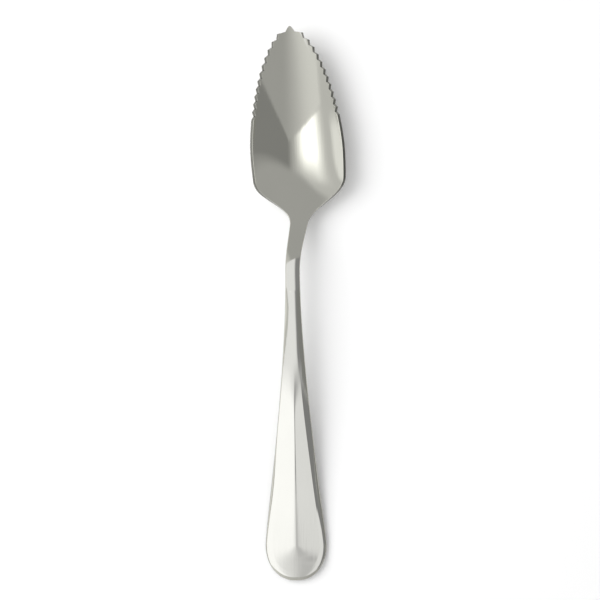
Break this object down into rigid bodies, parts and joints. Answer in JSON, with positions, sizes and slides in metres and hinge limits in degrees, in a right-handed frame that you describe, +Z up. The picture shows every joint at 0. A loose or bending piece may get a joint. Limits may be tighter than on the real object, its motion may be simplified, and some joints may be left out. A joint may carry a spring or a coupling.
{
  "type": "grapefruit spoon",
  "caption": "Slim polished steel spoon with a pointed bowl, saw teeth along the front rim for cutting out citrus segments, a narrow neck and a widening ridged handle.",
  "frame": {"origin": "on the table plane under the middle of the spoon, which lies on its back with the bowl open upwards", "axes": "+Z up out of the bowl, +Y along the spoon from the handle's end towards the toothed tip, +X to the right with the tip pointing away"},
  "size_m": [0.0275, 0.1599, 0.0104],
  "materials": {
    "bowl_steel": "stainless steel, mirror polished",
    "handle_steel": "stainless steel, mirror polished"
  },
  "bodies": {
    "root": {"bowl": "bowl_steel", "handle": "handle_steel"}
  },
  "joints": []
}
